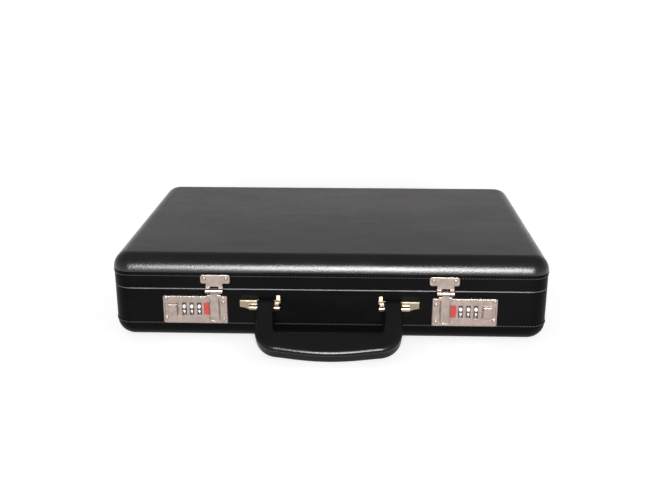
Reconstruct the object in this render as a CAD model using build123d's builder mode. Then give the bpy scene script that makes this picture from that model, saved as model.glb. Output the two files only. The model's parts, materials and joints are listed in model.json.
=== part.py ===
from build123d import *
import math
import os

# A slim attache case lying flat. X is its width, -Y its front (locks and handle), +Z up.
# The origin is the centre of the base panel's underside. Millimetres throughout.

# Driving dimensions of the case
WIDTH = 450.0
DEPTH = 300.0
HEIGHT = 90.0
CORNER = 20.0
EDGE = 17.0
PARTING = 55.0
BASE_SEAM = 18.5
LID_SEAM = 72.1
PIPING = 0.6

# Wall layers, from the outside in
COVER = 1.2
BOARD = 3.0
LINING = 1.0
PAD = 4.0

FRONT = -DEPTH / 2
BACK = DEPTH / 2
BOARD_IN = COVER + BOARD
LINING_IN = BOARD_IN + LINING

# Aluminium frames at the parting line
GAP = 0.2
FRAME_WALL = 1.2
FRAME_CAP = 1.4
FRAME_LIP = 0.7
BASE_RIM = PARTING - GAP
LID_RIM = PARTING + GAP
BOARD_TOP = BASE_RIM - FRAME_CAP
TONGUE_HEIGHT = 3.4
LID_FRAME_TOP = LID_RIM + 5.8
LID_LIP = LID_RIM + FRAME_LIP

# Hinge along the back
HINGE_Y = BACK + 2.3
HINGE_LENGTH = 380.0
HINGE_SEGMENTS = 19
KNUCKLE = 1.9
PIN = 1.0
RUNNING = 0.05
LEAF = 0.9
LEAF_WIDTH = 9.0
LEAF_GAP = 2.3

# Rear feet, for standing the case on its hinge side
FOOT_X = 199.0
FOOT_RADIUS = 5.0
FOOT_HEIGHT = 5.2
BASE_FOOT_Z = 25.0
LID_FOOT_Z = 65.0

# Locks: every X here is an outboard distance, and side (-1 left, +1 right) turns it
LOCK_X = 138.5
LOCK_WIDTH = 67.0
LOCK_LOW = 18.0
LOCK_HIGH = 48.5
PLATE = 2.4
PLATE_Y = FRONT - PLATE
RIVET_RADIUS = 1.9
RIVET_HEIGHT = 1.0
LOCK_RIVETS = [(168.6, 45.6), (168.6, 24.0), (109.2, 41.5), (109.2, 22.8)]

DIAL_X = 142.0
DIAL_PITCH = 7.8
DIAL_RADIUS = 9.2
DIAL_WIDTH = 3.8
DIAL_NOTCHES = 10
DIAL_HUB = 3.0
HUB_HALF_WIDTH = 3.7
WINDOW = 4.4
WINDOW_HALF_HEIGHT = 7.0
WINDOW_RELIEF = 2.0
DIAL_Y = PLATE_Y + 8.2
DIAL_Z = 34.0
SHAFT = 1.5

CASE_X = (112.0, 171.2)
CASE_Y = (FRONT, -132.0)
CASE_Z = (19.5, 47.2)
SHEET = 0.8
CHEEKS = [(129.2, 130.1), (153.9, 154.8)]

INDICATOR_X = (124.0, 129.3)
INDICATOR_Z = (28.0, 41.4)
LINE_HALF_HEIGHT = 0.3
LINE_HEIGHT = 0.15

# Thumb slides, each one piece with its bolt
SLIDE_X = (157.0, 166.5)
SLIDE_Z = (26.6, 40.0)
SLIDE_TRAVEL = 3.0
SLIDE_FRONT = PLATE_Y - 2.6
SLIDE_MARGIN = 1.1
RIDGE_Z = (37.0, 39.2)
RIDGE_FRONT = PLATE_Y - 3.6
RECESS_Y = PLATE_Y + 1.0
RECESS_X = (SLIDE_X[0] - SLIDE_MARGIN, SLIDE_X[1] + SLIDE_TRAVEL + 0.4)
STEM_X = (159.0, 163.0)
STEM_Z = (29.0, 37.6)
STEM_PLAY = 0.4
CARRIAGE_X = (156.0, 166.9)
CARRIAGE_Y = (-149.4, -147.6)
CARRIAGE_TOP = 42.0
BOLT_X = (122.6, 157.0)
BOLT_Z = (20.9, 23.3)
BOLT_ARM = (122.6, 124.4)
TOOTH_X = (120.8, 124.4)
TOOTH_Z = (24.4, 27.0)
TAB_X = (158.0, 159.2)
TAB_Y = -141.0
TAB_Z = (30.0, 38.0)
SPRING_Y = -144.0
SPRING_RADIUS = 2.2
SPRING_LENGTH = 6.0
SPRING_PITCH = 1.5
WIRE = 0.4

# Hasps, hinged on the lid
HASP_X = 118.2
HASP_Y = -153.4
HASP_Z = 54.6
HASP_KNUCKLE = 2.8
HASP_BACK = PLATE_Y - 0.3
HASP_PLATE = 1.8
HASP_EDGE = 0.4
HASP_TONGUE = 4.0
HASP_EAR = (4.3, 8.8)
HASP_NECK = 17.6
HASP_HEAD = (15.0, 4.2)
HASP_HEAD_Z = 48.4
HASP_BODY = (9.4, 25.0)
HASP_BODY_Z = 35.0
CATCH_Z = (24.2, 27.2)
CATCH_HALF_WIDTH = 2.0
CHANNEL = 3.2
BRACKET_X = 117.0
BRACKET_Z = 66.5
BRACKET_SIZE = (30.6, 9.6)
BRACKET_RIVETS = 11.2
BRACKET_RIVET_Z = 67.3

# Handle
HANDLE_Y = -158.6
HANDLE_Z = 39.2
HANDLE_PIN = 1.5
HANDLE_BARREL = 2.8
LEG_X = 64.8
LEG_WIDTH = 16.4
LEG_END = 7.6
LEG_TAPER = 30.0
LEG_GAP = 0.8
HANDLE_HALF_WIDTH = 73.2
WINDOW_HALF_WIDTH = 54.5
HANDLE_REACH = 59.5
HANDLE_BOW = 4.5
HANDLE_CORNER = 24.0
WINDOW_REACH = 35.0
WINDOW_CORNER = 8.0
GRIP_THICKNESS = 18.5
GRIP_EDGE = 3.5
CORE_INSET = 5.5
CORE_THICKNESS = 3.0
CORE_BOSS = 3.4
CORE_BOSS_HALF_WIDTH = 2.3

# Handle brackets: the outer ear is a wedge, the inner ear a bar over a barrel
EAR_TOP = 46.8
EAR_FRONT = -157.2
OUTER_EAR = (LEG_X + LEG_WIDTH / 2 + LEG_GAP, 91.5)
OUTER_EAR_LOW = (39.0, 38.2)
OUTER_BARREL = 8.0
INNER_EAR = (50.0, LEG_X - LEG_WIDTH / 2 - LEG_GAP)
INNER_BAR = 3.2
EAR_BEVEL = 1.2
STRIP_Z = (40.4, 44.0)
STRIP = 0.6
STOP_TOP = 49.4
STOP_Y = FRONT - 1.2
STOP_X = (50.8, 54.4)

# The handle hangs from its pins until the grip's lower outer edge meets the table
TABLE_GAP = 0.2
EDGE_REACH = HANDLE_REACH - GRIP_EDGE
EDGE_DEPTH = GRIP_THICKNESS / 2 - GRIP_EDGE
EDGE_FALL = HANDLE_Z - GRIP_EDGE - TABLE_GAP
EDGE_RADIUS = math.hypot(EDGE_REACH, EDGE_DEPTH)
HANDLE_DROP = math.asin(EDGE_FALL / EDGE_RADIUS) - math.atan2(EDGE_DEPTH, EDGE_REACH)
HANDLE_PLANE = Plane(
    origin=(0, HANDLE_Y, HANDLE_Z),
    x_dir=(1, 0, 0),
    z_dir=(0, -math.sin(HANDLE_DROP), math.cos(HANDLE_DROP)),
)
HANDLE_SIDE = Plane(
    origin=(0, HANDLE_Y, HANDLE_Z),
    x_dir=(0, -math.cos(HANDLE_DROP), -math.sin(HANDLE_DROP)),
    z_dir=(-1, 0, 0),
)

# Lid stays: hinge axis, base stud, lid stud and knee are the corners of a rhombus
STAY = 100.0
STAY_BASE_ANGLE = math.radians(11.5)
STAY_LID_ANGLE = math.radians(6.9)
STAY_BASE = (HINGE_Y - STAY * math.cos(STAY_BASE_ANGLE), PARTING - STAY * math.sin(STAY_BASE_ANGLE))
STAY_LID = (HINGE_Y - STAY * math.cos(STAY_LID_ANGLE), PARTING + STAY * math.sin(STAY_LID_ANGLE))
STAY_KNEE = (STAY_BASE[0] + STAY_LID[0] - HINGE_Y, STAY_BASE[1] + STAY_LID[1] - PARTING)
STAY_PIN = 2.0
STAY_WIDTH = 8.0
LOWER_STAY_X = (210.5, 212.0)
UPPER_STAY_X = (213.0, 214.5)
WALL_X = WIDTH / 2 - LINING_IN

# File pocket inside the lid
POCKET_HALF_WIDTH = 195.0
POCKET_Y = (-110.0, 135.0)
POCKET_Z = 70.0
POCKET_SHEET = 1.2
POCKET_PLAY = 0.2
CARD_X = (-150.0, -40.0)
CARD_Y = (-40.0, 30.0)
CARD_GAP = 1.0
CARD_HEM = 1.5
PEN_X = (60.0, 90.0, 120.0)
PEN_Y = (-40.0, -18.0)
PEN_HALF_WIDTH = 8.0
PEN_DEPTH = 8.4
PEN_BAND = 1.2
LID_CEILING = HEIGHT - COVER - PAD - BOARD - LINING


def outline(inset):
    """The case's plan outline, set in from its outer face."""
    RectangleRounded(WIDTH - 2 * inset, DEPTH - 2 * inset, CORNER - inset)


def ring(outer, inner, low, high):
    """A band that follows the case's outline between two insets."""
    with BuildSketch(Plane.XY.offset(low)) as band:
        outline(outer)
        RectangleRounded(WIDTH - 2 * inner, DEPTH - 2 * inner, CORNER - inner, mode=Mode.SUBTRACT)
    extrude(band.sketch, amount=high - low)


def case_solid(inset, low, high, edge, top=False):
    """A full solid of the case's shape, with its bottom or top edge rounded."""
    with BuildPart(mode=Mode.PRIVATE) as solid:
        with BuildSketch(Plane.XY.offset(low)):
            outline(inset)
        extrude(amount=high - low)
        faces = solid.faces().sort_by(Axis.Z)
        rounded = faces[-1] if top else faces[0]
        fillet(rounded.edges(), radius=edge)
    return solid.part


def brick(xs, ys, zs, mode=Mode.ADD):
    """A box between two values on each axis."""
    spans = [sorted(pair) for pair in (xs, ys, zs)]
    centre = tuple((low + high) / 2 for low, high in spans)
    size = [high - low for low, high in spans]
    with Locations(centre):
        Box(*size, mode=mode)


def rod(radius, xs, y, z, mode=Mode.ADD):
    """A round bar along X."""
    low, high = sorted(xs)
    with Locations(Location(((low + high) / 2, y, z), (0, 90, 0))):
        Cylinder(radius, high - low, mode=mode)


def boss(radius, x, ys, z, mode=Mode.ADD):
    """A round bar along Y."""
    low, high = sorted(ys)
    with Locations(Location((x, (low + high) / 2, z), (90, 0, 0))):
        Cylinder(radius, high - low, mode=mode)


def across(side, near, far):
    """Two outboard distances as X values on one side of the case."""
    return (side * near, side * far)


def save(part, name):
    """Label a finished piece and write its file."""
    part.label = name
    export_step(part, f"parts/{name}.step")


SIDES = {"left": -1, "right": 1}


def lock_opening(side):
    """The hole in the front wall that a lock's case drops into."""
    clear = 0.2
    xs = across(side, CASE_X[0] - clear, CASE_X[1] + clear)
    brick(xs, (FRONT - 1, CASE_Y[1] - 1), (CASE_Z[0] - clear, CASE_Z[1] + clear), mode=Mode.SUBTRACT)


# ---- Base: board tray, covers, lining and frame ----

def make_base_shell():
    outer = case_solid(COVER, COVER, BOARD_TOP, EDGE - COVER)
    inner = case_solid(BOARD_IN, BOARD_IN, BOARD_TOP, EDGE - BOARD_IN)
    with BuildPart() as base_shell:
        add(outer)
        add(inner, mode=Mode.SUBTRACT)
        for side in SIDES.values():
            lock_opening(side)
    save(base_shell.part, "base_shell")


def make_base_covers():
    outer = case_solid(0, 0, BASE_SEAM, EDGE)
    inner = case_solid(COVER, COVER, BASE_SEAM, EDGE - COVER)
    with BuildPart() as base_cover_bottom:
        add(outer)
        add(inner, mode=Mode.SUBTRACT)
    save(base_cover_bottom.part, "base_cover_bottom")

    with BuildPart() as base_cover_band:
        ring(0, COVER, BASE_SEAM, BASE_RIM - GAP)
        for side in SIDES.values():
            lock_opening(side)
    save(base_cover_band.part, "base_cover_band")


def make_base_lining():
    outer = case_solid(BOARD_IN, BOARD_IN, BOARD_TOP, EDGE - BOARD_IN)
    inner = case_solid(LINING_IN, LINING_IN, BOARD_TOP, EDGE - LINING_IN)
    with BuildPart() as base_lining:
        add(outer)
        add(inner, mode=Mode.SUBTRACT)
        for side in SIDES.values():
            lock_opening(side)
    save(base_lining.part, "base_lining")


def make_base_frame():
    leg_bottom = CASE_Z[1] + 0.8
    tongue = COVER + 2.0
    with BuildPart() as base_frame:
        ring(COVER, LINING_IN + FRAME_WALL, BOARD_TOP, BASE_RIM)
        ring(LINING_IN, LINING_IN + FRAME_WALL, leg_bottom, BOARD_TOP)
        ring(tongue, tongue + FRAME_CAP, BASE_RIM, BASE_RIM + TONGUE_HEIGHT)
    save(base_frame.part, "base_frame")


# ---- Lid: board tray, pad, covers, piping, lining and frame ----

def make_lid_shell():
    top = HEIGHT - COVER - PAD
    edge = EDGE - COVER - PAD
    outer = case_solid(COVER, LID_FRAME_TOP, top, edge, top=True)
    inner = case_solid(BOARD_IN, LID_FRAME_TOP, top - BOARD, edge - BOARD, top=True)
    with BuildPart() as lid_shell:
        add(outer)
        add(inner, mode=Mode.SUBTRACT)
    save(lid_shell.part, "lid_shell")


def make_lid_pad():
    pad_low = 81.0
    edge = EDGE - COVER
    outer = case_solid(COVER, LID_FRAME_TOP, HEIGHT - COVER, edge, top=True)
    board = case_solid(COVER, LID_FRAME_TOP, HEIGHT - COVER - PAD, edge - PAD, top=True)
    with BuildPart() as lid_pad:
        add(outer)
        add(board, mode=Mode.SUBTRACT)
        brick((-WIDTH, WIDTH), (-DEPTH, DEPTH), (0, pad_low), mode=Mode.SUBTRACT)
    save(lid_pad.part, "lid_pad")


def make_lid_covers():
    proud = 0.5
    outer = case_solid(0, LID_SEAM + PIPING, HEIGHT, EDGE, top=True)
    inner = case_solid(COVER, LID_SEAM + PIPING, HEIGHT - COVER, EDGE - COVER, top=True)
    with BuildPart() as lid_cover_top:
        add(outer)
        add(inner, mode=Mode.SUBTRACT)
    save(lid_cover_top.part, "lid_cover_top")

    with BuildPart() as lid_cover_band:
        ring(0, COVER, LID_LIP, LID_SEAM - PIPING)
    save(lid_cover_band.part, "lid_cover_band")

    with BuildPart() as lid_piping:
        ring(-proud, COVER, LID_SEAM - PIPING, LID_SEAM + PIPING)
    save(lid_piping.part, "lid_piping")


def make_lid_lining():
    edge = EDGE - COVER - PAD - BOARD
    outer = case_solid(BOARD_IN, LID_FRAME_TOP, LID_CEILING + LINING, edge, top=True)
    inner = case_solid(LINING_IN, LID_FRAME_TOP, LID_CEILING, edge - LINING, top=True)
    with BuildPart() as lid_lining:
        add(outer)
        add(inner, mode=Mode.SUBTRACT)
    save(lid_lining.part, "lid_lining")


def make_lid_frame():
    lip = COVER + FRAME_WALL
    inner_lip = 6.0
    roof = LID_FRAME_TOP - FRAME_CAP
    with BuildPart() as lid_frame:
        ring(0, lip, LID_RIM, LID_LIP)
        ring(COVER, lip, LID_LIP, roof)
        ring(COVER, inner_lip + FRAME_WALL, roof, LID_FRAME_TOP)
        ring(inner_lip, inner_lip + FRAME_WALL, LID_RIM, roof)
    save(lid_frame.part, "lid_frame")


# ---- Hinge ----

def make_hinge():
    half = HINGE_LENGTH / 2
    step = HINGE_LENGTH / HINGE_SEGMENTS
    play = 0.3
    leaf_y = (BACK, BACK + LEAF)
    for name, up in (("hinge_leaf_base", -1), ("hinge_leaf_lid", 1)):
        near = PARTING + up * LEAF_GAP
        far = PARTING + up * (LEAF_GAP + LEAF_WIDTH)
        first = 0 if up < 0 else 1
        with BuildPart() as leaf:
            brick((-half, half), leaf_y, (near, far))
            for number in range(first, HINGE_SEGMENTS, 2):
                start = -half + number * step
                span = (start + play / 2, start + step - play / 2)
                brick(span, leaf_y, (PARTING, near))
                rod(KNUCKLE, span, HINGE_Y, PARTING)
            rod(PIN + RUNNING, (-half - 1, half + 1), HINGE_Y, PARTING, mode=Mode.SUBTRACT)
        save(leaf.part, name)

    with BuildPart() as hinge_pin:
        rod(PIN, (-half, half), HINGE_Y, PARTING)
    save(hinge_pin.part, "hinge_pin")


# ---- Rivets ----

def rivets(places, face_y, head_y):
    """Rivet heads standing on a front or back face."""
    for x, z in places:
        boss(RIVET_RADIUS, x, (face_y, head_y), z)


def round_heads(part, end):
    """Domes the rivet heads at the front (0) or the back (-1) of a part."""
    rims = part.edges().filter_by(GeomType.CIRCLE).group_by(Axis.Y)[end]
    fillet(rims, radius=RIVET_HEIGHT * 0.85)


def make_rivets():
    leaf_x = [-170, -102, -34, 34, 102, 170]
    leaf_middle = LEAF_GAP + LEAF_WIDTH / 2 + 1
    leaf_y = BACK + LEAF
    bracket_y = FRONT - HASP_PLATE
    lock_places = [(side * x, z) for side in SIDES.values() for x, z in LOCK_RIVETS]
    off_middle = (-BRACKET_RIVETS, BRACKET_RIVETS)
    bracket_x = [side * BRACKET_X + dx for side in SIDES.values() for dx in off_middle]

    with BuildPart() as base_rivets:
        rivets(lock_places, PLATE_Y, PLATE_Y - RIVET_HEIGHT)
        round_heads(base_rivets, 0)
        rivets([(x, PARTING - leaf_middle) for x in leaf_x], leaf_y, leaf_y + RIVET_HEIGHT)
        round_heads(base_rivets, -1)
    save(base_rivets.part, "base_rivets")

    with BuildPart() as lid_rivets:
        rivets([(x, BRACKET_RIVET_Z) for x in bracket_x], bracket_y, bracket_y - RIVET_HEIGHT)
        round_heads(lid_rivets, 0)
        rivets([(x, PARTING + leaf_middle) for x in leaf_x], leaf_y, leaf_y + RIVET_HEIGHT)
        round_heads(lid_rivets, -1)
    save(lid_rivets.part, "lid_rivets")


def make_feet():
    for name, z in (("rear_feet_base", BASE_FOOT_Z), ("rear_feet_lid", LID_FOOT_Z)):
        with BuildPart() as feet:
            for side in SIDES.values():
                boss(FOOT_RADIUS, side * FOOT_X, (BACK, BACK + FOOT_HEIGHT), z)
            fillet(feet.edges().filter_by(GeomType.CIRCLE).group_by(Axis.Y)[-1], radius=1.6)
        save(feet.part, name)


# ---- Locks ----

def make_lock_plate(word, side):
    bevel = 0.8
    hasp_bed = (11.2, 24.0)
    hasp_bed_z = 32.8
    bed_depth = 0.5
    tooth_pocket_z = (24.0, 27.4)
    behind = FRONT + 1
    before = PLATE_Y - 1
    channel = (HASP_X - CHANNEL, HASP_X + CHANNEL)
    with BuildPart() as lock_plate:
        with BuildSketch(Plane.XZ.offset(-FRONT)):
            with Locations((side * LOCK_X, (LOCK_LOW + LOCK_HIGH) / 2)):
                RectangleRounded(LOCK_WIDTH, LOCK_HIGH - LOCK_LOW, 2)
        extrude(amount=PLATE)
        front_face = lock_plate.faces().sort_by(Axis.Y)[0]
        chamfer(front_face.edges(), length=bevel)
        # Shallow rounded bed that the hasp lies over
        with BuildSketch(Plane.XZ.offset(-PLATE_Y)):
            with Locations((side * HASP_X, hasp_bed_z)):
                RectangleRounded(*hasp_bed, 4)
        extrude(amount=-bed_depth, mode=Mode.SUBTRACT)
        # Channel for the hasp's catch, open at the top so that the lid can rise
        channel_z = (CATCH_Z[0] - 1.2, LOCK_HIGH + 1)
        brick(across(side, *channel), (behind, before), channel_z, mode=Mode.SUBTRACT)
        # Pocket for the bolt's tooth, cut from behind
        pocket_x = across(side, channel[1] - 1, 128.0)
        brick(pocket_x, (behind, FRONT - 1.9), tooth_pocket_z, mode=Mode.SUBTRACT)
        # Recess that the thumb pad slides in, with a slot for its stem
        recess_z = (SLIDE_Z[0] - 0.6, SLIDE_Z[1] + 0.5)
        brick(across(side, *RECESS_X), (RECESS_Y, before), recess_z, mode=Mode.SUBTRACT)
        slot_x = across(side, STEM_X[0] - STEM_PLAY, STEM_X[1] + SLIDE_TRAVEL + STEM_PLAY)
        slot_z = (STEM_Z[0] - STEM_PLAY, STEM_Z[1] + STEM_PLAY)
        brick(slot_x, (behind, before), slot_z, mode=Mode.SUBTRACT)
        # Dial windows, taller behind where the dials are wider, and the indicator's window
        tall = WINDOW_HALF_HEIGHT + WINDOW_RELIEF
        for number in (-1, 0, 1):
            x = side * (DIAL_X + number * DIAL_PITCH)
            window_x = (x - WINDOW / 2, x + WINDOW / 2)
            window_z = (DIAL_Z - WINDOW_HALF_HEIGHT, DIAL_Z + WINDOW_HALF_HEIGHT)
            brick(window_x, (behind, before), window_z, mode=Mode.SUBTRACT)
            brick(window_x, (behind, PLATE_Y + 1.2), (DIAL_Z - tall, DIAL_Z + tall), mode=Mode.SUBTRACT)
        brick(across(side, *INDICATOR_X), (behind, before), INDICATOR_Z, mode=Mode.SUBTRACT)
    save(lock_plate.part, f"lock_plate_{word}")


def make_lock_case(word, side):
    with BuildPart() as lock_case:
        brick(across(side, *CASE_X), CASE_Y, CASE_Z)
        inside_x = across(side, CASE_X[0] + SHEET, CASE_X[1] - SHEET)
        inside_z = (CASE_Z[0] + SHEET, CASE_Z[1] - SHEET)
        brick(inside_x, (CASE_Y[0] - 1, CASE_Y[1] - SHEET), inside_z, mode=Mode.SUBTRACT)
        for cheek in CHEEKS:
            brick(across(side, *cheek), (DIAL_Y - 3, CASE_Y[1] - SHEET), (DIAL_Z - 3, DIAL_Z + 3))
        rod(SHAFT, across(side, CHEEKS[0][0] - 1, CHEEKS[1][1] + 1), DIAL_Y, DIAL_Z, mode=Mode.SUBTRACT)
    save(lock_case.part, f"lock_case_{word}")


def make_lock_indicator(word, side):
    line_y = (PLATE_Y, PLATE_Y - LINE_HEIGHT)
    line_z = (DIAL_Z - LINE_HALF_HEIGHT, DIAL_Z + LINE_HALF_HEIGHT)
    edges = [INDICATOR_X[1]]
    for number in (-1, 0, 1):
        centre = DIAL_X + number * DIAL_PITCH
        edges += [centre - WINDOW / 2, centre + WINDOW / 2]
    edges.append(RECESS_X[0])
    with BuildPart() as lock_indicator:
        brick(across(side, *INDICATOR_X), (FRONT, PLATE_Y - 0.6), INDICATOR_Z)
        for start, end in zip(edges[0::2], edges[1::2]):
            brick(across(side, start, end), line_y, line_z)
    save(lock_indicator.part, f"lock_indicator_{word}")


def make_dials(word, side):
    notch = 0.6
    with BuildPart() as dial_shaft:
        rod(SHAFT, across(side, CHEEKS[0][0], CHEEKS[1][1]), DIAL_Y, DIAL_Z)
    save(dial_shaft.part, f"dial_shaft_{word}")

    for number in (1, 2, 3):
        x = side * (DIAL_X + (2 - number) * DIAL_PITCH)
        rim_plane = Plane(origin=(x - DIAL_WIDTH / 2, DIAL_Y, DIAL_Z), x_dir=(0, 1, 0), z_dir=(1, 0, 0))
        with BuildPart() as dial:
            with BuildSketch(rim_plane):
                Circle(DIAL_RADIUS)
                with PolarLocations(DIAL_RADIUS + 0.1, DIAL_NOTCHES):
                    Circle(notch, mode=Mode.SUBTRACT)
            extrude(amount=DIAL_WIDTH)
            hub = (x - HUB_HALF_WIDTH, x + HUB_HALF_WIDTH)
            rod(DIAL_HUB, hub, DIAL_Y, DIAL_Z)
            rod(SHAFT + RUNNING, hub, DIAL_Y, DIAL_Z, mode=Mode.SUBTRACT)
        save(dial.part, f"dial_{word}_{number}")


def make_slider(word, side):
    play = 0.2
    ridge_inset = 0.8
    with BuildPart() as slider:
        # Thumb pad with a raised ridge along its top, on a stem
        brick(across(side, *SLIDE_X), (RECESS_Y - play, SLIDE_FRONT), SLIDE_Z)
        pad_face = slider.faces().sort_by(Axis.Y)[0]
        fillet(pad_face.edges(), radius=0.7)
        ridge_x = across(side, SLIDE_X[0] + ridge_inset, SLIDE_X[1] - ridge_inset)
        brick(ridge_x, (SLIDE_FRONT + 0.6, RIDGE_FRONT), RIDGE_Z)
        brick(across(side, *STEM_X), (CARRIAGE_Y[0], SLIDE_FRONT + 1), STEM_Z)
        # Carriage, bolt bar under the dials, and the bolt's tooth
        brick(across(side, *CARRIAGE_X), CARRIAGE_Y, (BOLT_Z[0], CARRIAGE_TOP))
        brick(across(side, *BOLT_X), CARRIAGE_Y, BOLT_Z)
        brick(across(side, *BOLT_ARM), CARRIAGE_Y, (BOLT_Z[0], TOOTH_Z[1]))
        brick(across(side, *TOOTH_X), (CARRIAGE_Y[1], FRONT - 1.6), TOOTH_Z)
        # Tab that the return spring pushes on
        brick(across(side, *TAB_X), (CARRIAGE_Y[1] - play, TAB_Y), TAB_Z)
    save(slider.part, f"slider_{word}")

    spring_start = (side * (TAB_X[1] + WIRE + 0.3), SPRING_Y, DIAL_Z)
    with BuildPart() as slider_spring:
        with BuildLine() as coil:
            Helix(SPRING_PITCH, SPRING_LENGTH, SPRING_RADIUS, center=spring_start, direction=(side, 0, 0))
        with BuildSketch(Plane(origin=coil.line @ 0, z_dir=coil.line % 0)):
            Circle(WIRE)
        sweep(path=coil.line, is_frenet=True)
    save(slider_spring.part, f"slider_spring_{word}")


# ---- Hasps ----

def make_hasp_bracket(word, side):
    axis_x = side * HASP_X
    neck_z = (58.2, 64.2)
    ear_top = 59.0
    near, far = HASP_EAR
    with BuildPart() as hasp_bracket:
        with BuildSketch(Plane.XZ.offset(-FRONT)):
            with Locations((side * BRACKET_X, BRACKET_Z)):
                RectangleRounded(*BRACKET_SIZE, 2.4)
            with Locations((axis_x, sum(neck_z) / 2)):
                Rectangle(HASP_NECK, neck_z[1] - neck_z[0])
        extrude(amount=HASP_PLATE)
        front_face = hasp_bracket.faces().sort_by(Axis.Y)[0]
        chamfer(front_face.edges(), length=HASP_EDGE)
        for span in ((axis_x - far, axis_x - near), (axis_x + near, axis_x + far)):
            brick(span, (FRONT - 0.3, FRONT - HASP_PLATE), (HASP_Z, ear_top))
            rod(HASP_KNUCKLE, span, HASP_Y, HASP_Z)
        rod(PIN, (axis_x - far, axis_x + far), HASP_Y, HASP_Z, mode=Mode.SUBTRACT)
    save(hasp_bracket.part, f"hasp_bracket_{word}")

    with BuildPart() as hasp_pin:
        rod(PIN, (axis_x - far, axis_x + far), HASP_Y, HASP_Z)
    save(hasp_pin.part, f"hasp_pin_{word}")


def make_hasp(word, side):
    axis_x = side * HASP_X
    tongue = (axis_x - HASP_TONGUE, axis_x + HASP_TONGUE)
    catch = (axis_x - CATCH_HALF_WIDTH, axis_x + CATCH_HALF_WIDTH)
    with BuildPart() as hasp:
        with BuildSketch(Plane.XZ.offset(-HASP_BACK)):
            with Locations((axis_x, HASP_HEAD_Z)):
                RectangleRounded(*HASP_HEAD, 1.0)
            with Locations((axis_x, HASP_BODY_Z)):
                RectangleRounded(*HASP_BODY, 1.6)
        extrude(amount=HASP_PLATE)
        front_face = hasp.faces().sort_by(Axis.Y)[0]
        chamfer(front_face.edges(), length=HASP_EDGE)
        brick(tongue, (HASP_BACK, HASP_BACK - HASP_PLATE), (HASP_HEAD_Z, HASP_Z))
        rod(HASP_KNUCKLE, tongue, HASP_Y, HASP_Z)
        # Catch that the bolt's tooth holds
        brick(catch, (HASP_BACK - 0.5, FRONT - 0.5), CATCH_Z)
        rod(PIN + RUNNING, tongue, HASP_Y, HASP_Z, mode=Mode.SUBTRACT)
    save(hasp.part, f"hasp_{word}")


# ---- Handle and its brackets ----

def make_handle_bracket(word, side):
    start, end = OUTER_EAR
    tip_z, slope_z = OUTER_EAR_LOW
    barrel_low = HANDLE_Z - HANDLE_BARREL
    outer_barrel = across(side, start, start + OUTER_BARREL)
    inner_barrel = across(side, INNER_EAR[0] + 0.6, INNER_EAR[1])
    with BuildPart() as handle_bracket:
        # Strip behind the leg that joins the two ears
        brick(across(side, INNER_EAR[0], end), (FRONT, FRONT - STRIP), STRIP_Z)
        # Outer ear: a wedge that tapers away from the leg, over its barrel
        with BuildSketch(Plane.XZ.offset(-FRONT)):
            with BuildLine():
                Polyline(
                    (side * start, EAR_TOP),
                    (side * end, EAR_TOP),
                    (side * end, tip_z),
                    (side * (end - 5), slope_z),
                    (side * (start + OUTER_BARREL), barrel_low),
                    (side * start, barrel_low),
                    close=True,
                )
            make_face()
        extrude(amount=FRONT - EAR_FRONT)
        front_top = handle_bracket.edges().filter_by(Axis.X).sort_by(Axis.Y)[:3].sort_by(Axis.Z)[-1]
        chamfer(front_top, length=EAR_BEVEL)
        rod(HANDLE_BARREL, outer_barrel, HANDLE_Y, HANDLE_Z)
        # Inner ear: a top bar and a barrel joined by a waist
        brick(across(side, *INNER_EAR), (FRONT, EAR_FRONT), (EAR_TOP - INNER_BAR, EAR_TOP))
        waist_x = across(side, INNER_EAR[0] + 1.4, INNER_EAR[1])
        brick(waist_x, (FRONT, HANDLE_Y), (barrel_low + 0.6, EAR_TOP - INNER_BAR))
        rod(HANDLE_BARREL, inner_barrel, HANDLE_Y, HANDLE_Z)
        # Upright tab over the inner ear
        brick(across(side, *STOP_X), (FRONT, STOP_Y), (EAR_TOP - 1, STOP_TOP))
        rod(HANDLE_PIN, (inner_barrel[0], outer_barrel[1]), HANDLE_Y, HANDLE_Z, mode=Mode.SUBTRACT)
    save(handle_bracket.part, f"handle_bracket_{word}")

    with BuildPart() as handle_pin:
        rod(HANDLE_PIN, (inner_barrel[0], outer_barrel[1]), HANDLE_Y, HANDLE_Z)
    save(handle_pin.part, f"handle_pin_{word}")


def handle_u(inset):
    """The handle's flat U, pivots on the local X axis and grip towards local -Y, set in all round."""
    outer_half = HANDLE_HALF_WIDTH - inset
    inner_half = WINDOW_HALF_WIDTH + inset
    leg_outer = LEG_X + LEG_WIDTH / 2 - inset
    leg_inner = LEG_X - LEG_WIDTH / 2 + inset
    reach = HANDLE_REACH - inset
    side_reach = reach - HANDLE_BOW
    window_reach = WINDOW_REACH + inset
    end = LEG_END - inset

    with BuildSketch(mode=Mode.PRIVATE) as window:
        with BuildLine():
            Polyline(
                (-leg_inner, end),
                (-inner_half, -window_reach),
                (inner_half, -window_reach),
                (leg_inner, end),
                close=True,
            )
        make_face()
        fillet(window.vertices().group_by(Axis.Y)[0], radius=WINDOW_CORNER)

    with BuildSketch(mode=Mode.PRIVATE) as shape:
        with BuildLine():
            left = Line((-leg_outer, end), (-outer_half, -side_reach))
            grip_edge = ThreePointArc(left @ 1, (0, -reach), (outer_half, -side_reach))
            right = Line(grip_edge @ 1, (leg_outer, end))
            Line(right @ 1, left @ 0)
        make_face()
        fillet(shape.vertices().group_by(Axis.Y)[0], radius=HANDLE_CORNER - inset)
        add(window.sketch, mode=Mode.SUBTRACT)
    return shape.sketch


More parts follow.
